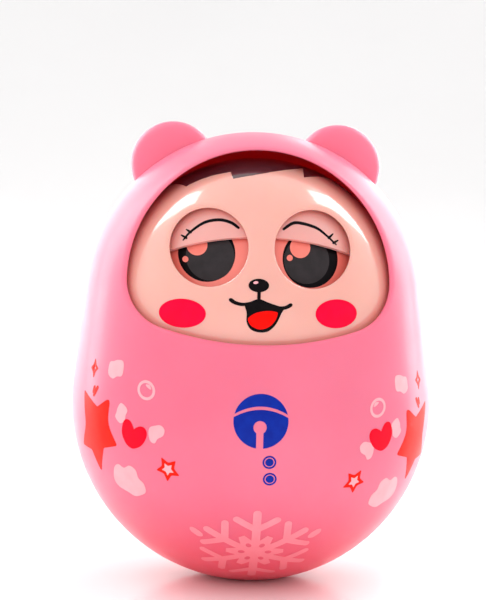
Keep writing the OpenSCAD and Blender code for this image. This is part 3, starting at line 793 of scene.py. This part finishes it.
# %% The face's form and a ball's, to wrap prints on
def face_form(name, spokes=256, rings=140):
    """The face's barrel, closed at its ends."""
    def place(ring, spoke):
        share = (ring - 1) / (rings - 3) * 2 - 1
        x = max(min(share, 1), -1) * FACE_R
        radius = face_radius(x) if 0 < ring < rings - 1 else 0
        angle = spoke / spokes * math.tau
        return AXLE + Vector((x, radius * math.cos(angle), radius * math.sin(angle)))

    return tidy_mesh(tube(name, spokes, rings, place, closed=False))


def ball_form(name, radius):
    bpy.ops.object.select_all(action="DESELECT")
    bpy.ops.mesh.primitive_uv_sphere_add(segments=256, ring_count=128, radius=radius, location=AXLE)
    form = bpy.context.object
    form.name = name
    bpy.ops.object.transform_apply(location=True)
    return form


CLEAR = 0.01
FRONT = Matrix.Translation((0, AXLE.y - FACE_R - CLEAR, 0))
face_barrel = face_form("face_barrel")


def face_film(name, loops_list, material, target, lift, body="head", slot="face_skin", at=(0, 0)):
    """Prints seen from the front, drawn about a point and projected back onto the target."""
    place = FRONT @ Matrix.Translation((at[0], 0, at[1]))
    piece = film(name, [(loops, place) for loops in loops_list], target, lift, front=True)
    dress(piece, material, body, slot)


# %% Nose, smile and cheeks
black_ink = ink("black_ink", (0.005, 0.003, 0.004), (0.002, 0.001, 0.002), gloss=0.05)
cheek_ink = ink("cheek_ink", (1.0, 0.0, 0.046), (0.94, 0.0, 0.039), gloss=0.06)
tongue_ink = ink("tongue_ink", (1.0, 0.004, 0.001), (0.93, 0.002, 0.0), gloss=0.06)

NOSE_X, NOSE_Z = -0.0009, 0.1166
smile = stroke([(-0.0109, 0.1112), (-0.0092, 0.1102), (-0.0067, 0.1097), (-0.0040, 0.1101),
                (-0.0008, 0.1112), (0.0020, 0.1102), (0.0045, 0.1093), (0.0070, 0.1086),
                (0.0092, 0.1089), (0.0108, 0.1098)],
               (0.0014, 0.0013, 0.0012, 0.0011, 0.0011, 0.0011, 0.0012, 0.0013, 0.0013, 0.0013))
stem = stroke([(-0.0008, 0.1150), (-0.0008, 0.1110)], (0.0011, 0.0011))
open_mouth = soft([(-0.0058, 0.1097), (-0.0032, 0.1103), (-0.0008, 0.1112), (0.0022, 0.1101),
                   (0.0050, 0.1092), (0.0082, 0.1087), (0.0073, 0.1064), (0.0056, 0.1028),
                   (0.0029, 0.1002), (-0.0003, 0.0997), (-0.0034, 0.1007), (-0.0050, 0.1033),
                   (-0.0051, 0.1068)])
tongue = soft([(-0.0043, 0.1050), (-0.0018, 0.1067), (0.0020, 0.1075), (0.0052, 0.1073), (0.0061, 0.1066),
               (0.0052, 0.1040), (0.0030, 0.1017), (-0.0002, 0.1008), (-0.0030, 0.1018), (-0.0043, 0.1034)])
face_film("smile", [[smile]], black_ink, face_barrel, INK)
face_film("open_mouth", [[open_mouth]], black_ink, face_barrel, INK * 1.6)
face_film("nose", [[oval(NOSE_X, NOSE_Z, 0.0037, 0.0024)], [stem]], black_ink, face_barrel, INK * 2.2)
face_film("nose_gleam", [[turned(oval(0, 0, 0.0009, 0.0005, 24), 8)]], pale_ink, face_barrel, INK * 3,
          at=(NOSE_X - 0.0011, NOSE_Z + 0.0010))
face_film("tongue", [[tongue]], tongue_ink, face_barrel, INK * 2.6)
face_film("cheeks", [[oval(-0.0282, 0.1057, 0.0085, 0.0053)], [oval(0.0279, 0.1066, 0.0079, 0.0053)]],
          cheek_ink, face_barrel, INK)

# %% [markdown]
# ## Fringe
# A dark fringe with two short teeth is printed under the hood. It runs over the top of the face, where a
# drawing projected from the front would smear, so a grid is laid instead: its lowest row follows the fringe's
# edge, and its columns run back over the barrel to above the axle.

# %% Lay the fringe
FRINGE = [(-0.0275, 0.1519), (-0.0262, 0.1527), (-0.0220, 0.1547), (-0.0175, 0.1563), (-0.0135, 0.1572),
          (-0.0103, 0.1579), (-0.0101, 0.1551), (-0.0070, 0.1558), (-0.0040, 0.1564), (0.0030, 0.1578),
          (0.0100, 0.1590), (0.0168, 0.1598), (0.0166, 0.1563), (0.0195, 0.1566), (0.0222, 0.1568),
          (0.0240, 0.1567)]
SPLIT, FRINGE_ROWS, FRINGE_SPREAD = 4, 24, 0.35
fringe_line = []
for a, b in zip(FRINGE, FRINGE[1:]):
    fringe_line += [tuple(Vector(a).lerp(Vector(b), k / SPLIT)) for k in range(SPLIT)]
fringe_line.append(FRINGE[-1])
columns = len(fringe_line) - 1
bpy.ops.object.select_all(action="DESELECT")
bpy.ops.mesh.primitive_grid_add(x_subdivisions=columns, y_subdivisions=FRINGE_ROWS, size=2)
fringe = bpy.context.object
fringe.name = fringe.data.name = "fringe"
for corner in fringe.data.vertices:
    x, z = fringe_line[round((corner.co.x + 1) / 2 * columns)]
    back = round((corner.co.y + 1) / 2 * FRINGE_ROWS) / FRINGE_ROWS
    low = math.asin(min((z - AXLE.z) / face_radius(x), 1))
    rise, x = low + (math.pi / 2 - low) * back, x * (1 + FRINGE_SPREAD * back)
    radius = face_radius(x) + INK
    corner.co = AXLE + Vector((x, -radius * math.cos(rise), radius * math.sin(rise)))
modify(fringe, "SOLIDIFY", thickness=FILM, offset=-1)
hair_ink = finish("hair_ink", (0.075, 0.020, 0.026), (0.050, 0.012, 0.017), 260, (0.2, 0.3), INK_GRAIN,
                  Coat_Weight=0.8, Coat_Roughness=0.04)
dress(tidy_mesh(fringe), hair_ink, "head", "face_skin")

# %% [markdown]
# ## Eyes and lashes
# Each eye dish carries a black ring round a dark grey disc, which is a painted reflection of the bright room in
# the glossy eye, with a big and a small salmon gleam. The lashes are printed on the lids, so they move when the
# toy blinks.

# %% Iris rings, painted reflections and gleams
LAYER, LID_WALL = 0.0008, 0.0012
LID_R = FACE_R - MASK_WALL - LAYER
EYE_R = LID_R - LID_WALL - LAYER
IRIS_R = 0.0104
eye_ball, lid_ball = ball_form("eye_ball", EYE_R), ball_form("lid_ball", LID_R)
# Dark grey ink for the discs inside the black rings: a painted reflection of the bright room in the glossy eye.
iris_reflection_ink = ink("iris_reflection_ink", (0.038, 0.031, 0.034), (0.030, 0.025, 0.027), gloss=0.08)
gleam_ink = ink("gleam_ink", (1.0, 0.25, 0.20), (0.96, 0.22, 0.17))
GLEAM_R, DOT_R = 0.0038, 0.0011
EYES = [{"ring": (-0.0197, 0.1276), "disc": (-0.0184, 0.1265), "disc_r": 0.0088,
         "gleam": (-0.0232, 0.1304), "dot": (-0.0273, 0.1251)},
        {"ring": (0.0183, 0.1262), "disc": (0.0169, 0.1257), "disc_r": 0.0085,
         "gleam": (0.0144, 0.1303), "dot": (0.0105, 0.1265)}]
rings = [[oval(*eye["ring"], IRIS_R, IRIS_R, 72)] for eye in EYES]
reflection_discs = [[oval(*eye["disc"], eye["disc_r"], eye["disc_r"], 64)] for eye in EYES]
gleams = [[oval(*eye["gleam"], GLEAM_R, GLEAM_R)] for eye in EYES]
gleams += [[oval(*eye["dot"], DOT_R, DOT_R)] for eye in EYES]
face_film("iris_rings", rings, black_ink, eye_ball, INK, slot="eye_salmon")
# Painted reflection: the grey discs stand in for the room mirrored in each glossy eye.
face_film("iris_reflections", reflection_discs, iris_reflection_ink, eye_ball, INK * 2, slot="eye_salmon")
face_film("eye_gleams", gleams, gleam_ink, eye_ball, INK * 3, slot="eye_salmon")

# %% Lashes
lash_left = stroke([(-0.0282, 0.1322), (-0.0256, 0.1352), (-0.0206, 0.1387), (-0.0153, 0.1398),
                    (-0.0110, 0.1389), (-0.0083, 0.1371)], (0.0005, 0.0008, 0.0010, 0.0011, 0.0011, 0.0009))
lash_right = stroke([(0.0083, 0.1370), (0.0116, 0.1391), (0.0149, 0.1392), (0.0205, 0.1376), (0.0243, 0.1349),
                     (0.0279, 0.1317)], (0.0009, 0.0011, 0.0011, 0.0010, 0.0008, 0.0005))
ticks = [stroke(line, (0.0005, 0.0009)) for line in
         ([(-0.0271, 0.1359), (-0.0256, 0.1350)], [(-0.0289, 0.1338), (-0.0272, 0.1329)],
          [(0.0268, 0.1354), (0.0252, 0.1340)], [(0.0287, 0.1331), (0.0270, 0.1322)])]
face_film("lashes", [[lash_left], [lash_right]], black_ink, lid_ball, INK, "eyelids", "eyelid_skin")
face_film("lash_ticks", [[tick] for tick in ticks], black_ink, lid_ball, INK * 1.7, "eyelids", "eyelid_skin")

# %% [markdown]
# ## Studio
# The toy stands on white paper that curves up behind it, in a bright white room. Two soft lamps fill the
# front and the top and leave no reflection. A tall window at each side draws the long streaks on the face,
# and a rim lamp behind each shoulder lightens the egg's edge.

# %% Paper sweep
SWEEP_SIZE, SWEEP_BACK, SWEEP_RISE, SWEEP_BEND = 8.0, 2.2, 4.0, 1.6
NEAR = 0.001
bpy.ops.object.select_all(action="DESELECT")
bpy.ops.mesh.primitive_plane_add(size=SWEEP_SIZE, location=(0, SWEEP_BACK - SWEEP_SIZE / 2, 0))
floor = bpy.context.object
floor.name = "paper_sweep"
bpy.ops.object.transform_apply(location=True)
pick(floor, lambda at: at.y > SWEEP_BACK - NEAR)
bpy.ops.mesh.extrude_region_move(TRANSFORM_OT_translate={"value": (0, 0, SWEEP_RISE)})
pick(floor, lambda at: at.y > SWEEP_BACK - NEAR and at.z < NEAR)
bpy.ops.mesh.bevel(offset=SWEEP_BEND, segments=16, affect="EDGES")
bpy.ops.object.mode_set(mode="OBJECT")
bpy.ops.object.shade_smooth()
paper = finish("gloss_paper", (0.95, 0.94, 0.94), (0.93, 0.92, 0.92), 3, (0.12, 0.18), (900, 0.000004))
floor.data.materials.append(paper)
print("paper sweep:", len(floor.data.polygons), "faces")

# %% Light
def softbox(name, at, aim, wide, high, power, shine=True):
    """An area light; one without shine lights the toy but leaves no reflection on it."""
    bpy.ops.object.select_all(action="DESELECT")
    bpy.ops.object.light_add(type="AREA", location=at)
    lamp = bpy.context.object
    lamp.name = name
    lamp.data.shape, lamp.data.size, lamp.data.size_y, lamp.data.energy = "RECTANGLE", wide, high, power
    lamp.rotation_euler = (Vector(aim) - Vector(at)).to_track_quat("-Z", "Y").to_euler()
    lamp.visible_glossy, lamp.visible_camera = shine, False


MIDDLE = Vector((0, 0, 0.10))
softbox("key_front", (-0.3, -1.5, 0.7), MIDDLE, 1.6, 1.2, 4, shine=False)
softbox("roof", (0, 0.1, 1.7), MIDDLE, 2.4, 2.4, 4.5, shine=False)
for side_name, side, rim_power in (("left", -1, 3.2), ("right", 1, 4.6)):
    softbox("window_" + side_name, (side * 0.71, 0.46, 0.45), MIDDLE, 0.26, 1.3, 6)
    softbox("rim_" + side_name, (side * 0.45, 0.92, 0.35), MIDDLE, 0.6, 0.7, rim_power)
world = bpy.data.worlds.new("studio")
bpy.context.scene.world = world
world.use_nodes = True
background = world.node_tree.nodes["Background"]
background.inputs["Color"].default_value = (1, 1, 1, 1)
background.inputs["Strength"].default_value = 0.92
bpy.context.scene.view_settings.view_transform = "Standard"

# %% [markdown]
# ## Clearing the forms
# The egg, the barrel and the balls were only there to cut and wrap with, so they go.

# %% Remove the forms
for form in (egg_skin, egg_core, face_barrel, eye_ball, lid_ball):
    bpy.data.objects.remove(form)
